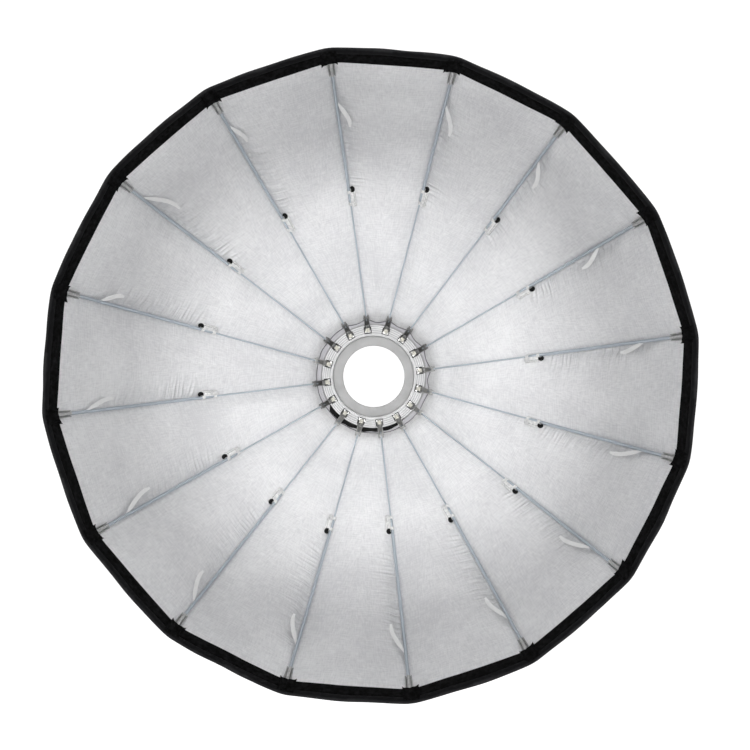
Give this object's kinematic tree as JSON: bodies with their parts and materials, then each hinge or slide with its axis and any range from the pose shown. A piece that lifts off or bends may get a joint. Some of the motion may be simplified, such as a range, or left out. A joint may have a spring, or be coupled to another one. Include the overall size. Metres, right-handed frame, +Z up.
{
  "type": "parabolic softbox",
  "caption": "Deep round fabric softbox with a silver inside, folding steel ribs on a slotted hub ring, a black rim band and a bayonet insert for a studio light.",
  "frame": {"origin": "centre of the hub's rear mounting face, on the optical axis", "axes": "+Y along the optical axis towards the light, the open mouth faces -Y, +Z up"},
  "size_m": [0.9056, 0.5089, 0.9056],
  "materials": {
    "cast_aluminium": "matte",
    "light_aluminium": "turned",
    "dark_aluminium": "anodised",
    "steel": "satin",
    "rib_steel": "satin",
    "latch_plastic": "moulded",
    "canopy_fabric": "silver coated weave",
    "black_fabric": "woven",
    "webbing": "woven tape"
  },
  "bodies": {
    "hub": {"mount_insert": "cast_aluminium", "insert_screw_01": "steel", "insert_screw_02": "steel", "insert_screw_03": "steel", "hub_body": "cast_aluminium", "front_cover_ring": "light_aluminium", "collar_ring": "dark_aluminium", "neck_hem": "black_fabric", "hinge_ring": "steel", "latch_spring_ring": "steel"},
    "rib_body_01": {"rib_01": "rib_steel", "canopy_gore_01": "canopy_fabric"},
    "latch_body_01": {"release_latch_01": "latch_plastic"},
    "rib_body_02": {"rib_02": "rib_steel", "canopy_gore_02": "canopy_fabric"},
    "latch_body_02": {"release_latch_02": "latch_plastic"},
    "rib_body_03": {"rib_03": "rib_steel", "canopy_gore_03": "canopy_fabric"},
    "latch_body_03": {"release_latch_03": "latch_plastic"},
    "rib_body_04": {"rib_04": "rib_steel", "canopy_gore_04": "canopy_fabric"},
    "latch_body_04": {"release_latch_04": "latch_plastic"},
    "rib_body_05": {"rib_05": "rib_steel", "canopy_gore_05": "canopy_fabric"},
    "latch_body_05": {"release_latch_05": "latch_plastic"},
    "rib_body_06": {"rib_06": "rib_steel", "canopy_gore_06": "canopy_fabric"},
    "latch_body_06": {"release_latch_06": "latch_plastic"},
    "rib_body_07": {"rib_07": "rib_steel", "canopy_gore_07": "canopy_fabric"},
    "latch_body_07": {"release_latch_07": "latch_plastic"},
    "rib_body_08": {"rib_08": "rib_steel", "canopy_gore_08": "canopy_fabric"},
    "latch_body_08": {"release_latch_08": "latch_plastic"},
    "rib_body_09": {"rib_09": "rib_steel", "canopy_gore_09": "canopy_fabric"},
    "latch_body_09": {"release_latch_09": "latch_plastic"},
    "rib_body_10": {"rib_10": "rib_steel", "canopy_gore_10": "canopy_fabric"},
    "latch_body_10": {"release_latch_10": "latch_plastic"},
    "rib_body_11": {"rib_11": "rib_steel", "canopy_gore_11": "canopy_fabric"},
    "latch_body_11": {"release_latch_11": "latch_plastic"},
    "rib_body_12": {"rib_12": "rib_steel", "canopy_gore_12": "canopy_fabric"},
    "latch_body_12": {"release_latch_12": "latch_plastic"},
    "rib_body_13": {"rib_13": "rib_steel", "canopy_gore_13": "canopy_fabric"},
    "latch_body_13": {"release_latch_13": "latch_plastic"},
    "rib_body_14": {"rib_14": "rib_steel", "canopy_gore_14": "canopy_fabric"},
    "latch_body_14": {"release_latch_14": "latch_plastic"},
    "rib_body_15": {"rib_15": "rib_steel", "canopy_gore_15": "canopy_fabric"},
    "latch_body_15": {"release_latch_15": "latch_plastic"},
    "rib_body_16": {"rib_16": "rib_steel", "canopy_gore_16": "canopy_fabric"},
    "latch_body_16": {"release_latch_16": "latch_plastic"}
  },
  "joints": [
    {"name": "rib_fold_01", "type": "hinge", "parent": "hub", "child": "rib_body_01", "pos_m": [0.0794, -0.01, 0.00975], "axis": [0.1219, 0, -0.9925], "range_deg": [0, 38], "deforming": ["canopy_gore_01"]},
    {"name": "rib_fold_02", "type": "hinge", "parent": "hub", "child": "rib_body_02", "pos_m": [0.06963, -0.01, 0.03939], "axis": [0.4924, 0, -0.8704], "range_deg": [0, 38], "deforming": ["canopy_gore_02"]},
    {"name": "rib_fold_03", "type": "hinge", "parent": "hub", "child": "rib_body_03", "pos_m": [0.04925, -0.01, 0.06304], "axis": [0.788, 0, -0.6157], "range_deg": [0, 38], "deforming": ["canopy_gore_03"]},
    {"name": "rib_fold_04", "type": "hinge", "parent": "hub", "child": "rib_body_04", "pos_m": [0.02138, -0.01, 0.07709], "axis": [0.9636, 0, -0.2672], "range_deg": [0, 38], "deforming": ["canopy_gore_04"]},
    {"name": "rib_fold_05", "type": "hinge", "parent": "hub", "child": "rib_body_05", "pos_m": [-0.00975, -0.01, 0.0794], "axis": [0.9925, 0, 0.1219], "range_deg": [0, 38], "deforming": ["canopy_gore_05"]},
    {"name": "rib_fold_06", "type": "hinge", "parent": "hub", "child": "rib_body_06", "pos_m": [-0.03939, -0.01, 0.06963], "axis": [0.8704, 0, 0.4924], "range_deg": [0, 38], "deforming": ["canopy_gore_06"]},
    {"name": "rib_fold_07", "type": "hinge", "parent": "hub", "child": "rib_body_07", "pos_m": [-0.06304, -0.01, 0.04925], "axis": [0.6157, 0, 0.788], "range_deg": [0, 38], "deforming": ["canopy_gore_07"]},
    {"name": "rib_fold_08", "type": "hinge", "parent": "hub", "child": "rib_body_08", "pos_m": [-0.07709, -0.01, 0.02138], "axis": [0.2672, 0, 0.9636], "range_deg": [0, 38], "deforming": ["canopy_gore_08"]},
    {"name": "rib_fold_09", "type": "hinge", "parent": "hub", "child": "rib_body_09", "pos_m": [-0.0794, -0.01, -0.00975], "axis": [-0.1219, 0, 0.9925], "range_deg": [0, 38], "deforming": ["canopy_gore_09"]},
    {"name": "rib_fold_10", "type": "hinge", "parent": "hub", "child": "rib_body_10", "pos_m": [-0.06963, -0.01, -0.03939], "axis": [-0.4924, 0, 0.8704], "range_deg": [0, 38], "deforming": ["canopy_gore_10"]},
    {"name": "rib_fold_11", "type": "hinge", "parent": "hub", "child": "rib_body_11", "pos_m": [-0.04925, -0.01, -0.06304], "axis": [-0.788, 0, 0.6157], "range_deg": [0, 38], "deforming": ["canopy_gore_11"]},
    {"name": "rib_fold_12", "type": "hinge", "parent": "hub", "child": "rib_body_12", "pos_m": [-0.02138, -0.01, -0.07709], "axis": [-0.9636, 0, 0.2672], "range_deg": [0, 38], "deforming": ["canopy_gore_12"]},
    {"name": "rib_fold_13", "type": "hinge", "parent": "hub", "child": "rib_body_13", "pos_m": [0.00975, -0.01, -0.0794], "axis": [-0.9925, 0, -0.1219], "range_deg": [0, 38], "deforming": ["canopy_gore_13"]},
    {"name": "rib_fold_14", "type": "hinge", "parent": "hub", "child": "rib_body_14", "pos_m": [0.03939, -0.01, -0.06963], "axis": [-0.8704, 0, -0.4924], "range_deg": [0, 38], "deforming": ["canopy_gore_14"]},
    {"name": "rib_fold_15", "type": "hinge", "parent": "hub", "child": "rib_body_15", "pos_m": [0.06304, -0.01, -0.04925], "axis": [-0.6157, 0, -0.788], "range_deg": [0, 38], "deforming": ["canopy_gore_15"]},
    {"name": "rib_fold_16", "type": "hinge", "parent": "hub", "child": "rib_body_16", "pos_m": [0.07709, -0.01, -0.02138], "axis": [-0.2672, 0, -0.9636], "range_deg": [0, 38], "deforming": ["canopy_gore_16"]},
    {"name": "latch_press_01", "type": "slide", "parent": "hub", "child": "latch_body_01", "axis": [0, 1, 0], "range_m": [0, 0.003], "stiffness_N_per_m": 250},
    {"name": "latch_press_02", "type": "slide", "parent": "hub", "child": "latch_body_02", "axis": [0, 1, 0], "range_m": [0, 0.003], "stiffness_N_per_m": 250},
    {"name": "latch_press_03", "type": "slide", "parent": "hub", "child": "latch_body_03", "axis": [0, 1, 0], "range_m": [0, 0.003], "stiffness_N_per_m": 250},
    {"name": "latch_press_04", "type": "slide", "parent": "hub", "child": "latch_body_04", "axis": [0, 1, 0], "range_m": [0, 0.003], "stiffness_N_per_m": 250},
    {"name": "latch_press_05", "type": "slide", "parent": "hub", "child": "latch_body_05", "axis": [0, 1, 0], "range_m": [0, 0.003], "stiffness_N_per_m": 250},
    {"name": "latch_press_06", "type": "slide", "parent": "hub", "child": "latch_body_06", "axis": [0, 1, 0], "range_m": [0, 0.003], "stiffness_N_per_m": 250},
    {"name": "latch_press_07", "type": "slide", "parent": "hub", "child": "latch_body_07", "axis": [0, 1, 0], "range_m": [0, 0.003], "stiffness_N_per_m": 250},
    {"name": "latch_press_08", "type": "slide", "parent": "hub", "child": "latch_body_08", "axis": [0, 1, 0], "range_m": [0, 0.003], "stiffness_N_per_m": 250},
    {"name": "latch_press_09", "type": "slide", "parent": "hub", "child": "latch_body_09", "axis": [0, 1, 0], "range_m": [0, 0.003], "stiffness_N_per_m": 250},
    {"name": "latch_press_10", "type": "slide", "parent": "hub", "child": "latch_body_10", "axis": [0, 1, 0], "range_m": [0, 0.003], "stiffness_N_per_m": 250},
    {"name": "latch_press_11", "type": "slide", "parent": "hub", "child": "latch_body_11", "axis": [0, 1, 0], "range_m": [0, 0.003], "stiffness_N_per_m": 250},
    {"name": "latch_press_12", "type": "slide", "parent": "hub", "child": "latch_body_12", "axis": [0, 1, 0], "range_m": [0, 0.003], "stiffness_N_per_m": 250},
    {"name": "latch_press_13", "type": "slide", "parent": "hub", "child": "latch_body_13", "axis": [0, 1, 0], "range_m": [0, 0.003], "stiffness_N_per_m": 250},
    {"name": "latch_press_14", "type": "slide", "parent": "hub", "child": "latch_body_14", "axis": [0, 1, 0], "range_m": [0, 0.003], "stiffness_N_per_m": 250},
    {"name": "latch_press_15", "type": "slide", "parent": "hub", "child": "latch_body_15", "axis": [0, 1, 0], "range_m": [0, 0.003], "stiffness_N_per_m": 250},
    {"name": "latch_press_16", "type": "slide", "parent": "hub", "child": "latch_body_16", "axis": [0, 1, 0], "range_m": [0, 0.003], "stiffness_N_per_m": 250}
  ],
  "couplings": [
    {"joint": "rib_fold_02", "follows": "rib_fold_01", "ratio": 1},
    {"joint": "rib_fold_03", "follows": "rib_fold_01", "ratio": 1},
    {"joint": "rib_fold_04", "follows": "rib_fold_01", "ratio": 1},
    {"joint": "rib_fold_05", "follows": "rib_fold_01", "ratio": 1},
    {"joint": "rib_fold_06", "follows": "rib_fold_01", "ratio": 1},
    {"joint": "rib_fold_07", "follows": "rib_fold_01", "ratio": 1},
    {"joint": "rib_fold_08", "follows": "rib_fold_01", "ratio": 1},
    {"joint": "rib_fold_09", "follows": "rib_fold_01", "ratio": 1},
    {"joint": "rib_fold_10", "follows": "rib_fold_01", "ratio": 1},
    {"joint": "rib_fold_11", "follows": "rib_fold_01", "ratio": 1},
    {"joint": "rib_fold_12", "follows": "rib_fold_01", "ratio": 1},
    {"joint": "rib_fold_13", "follows": "rib_fold_01", "ratio": 1},
    {"joint": "rib_fold_14", "follows": "rib_fold_01", "ratio": 1},
    {"joint": "rib_fold_15", "follows": "rib_fold_01", "ratio": 1},
    {"joint": "rib_fold_16", "follows": "rib_fold_01", "ratio": 1}
  ]
}
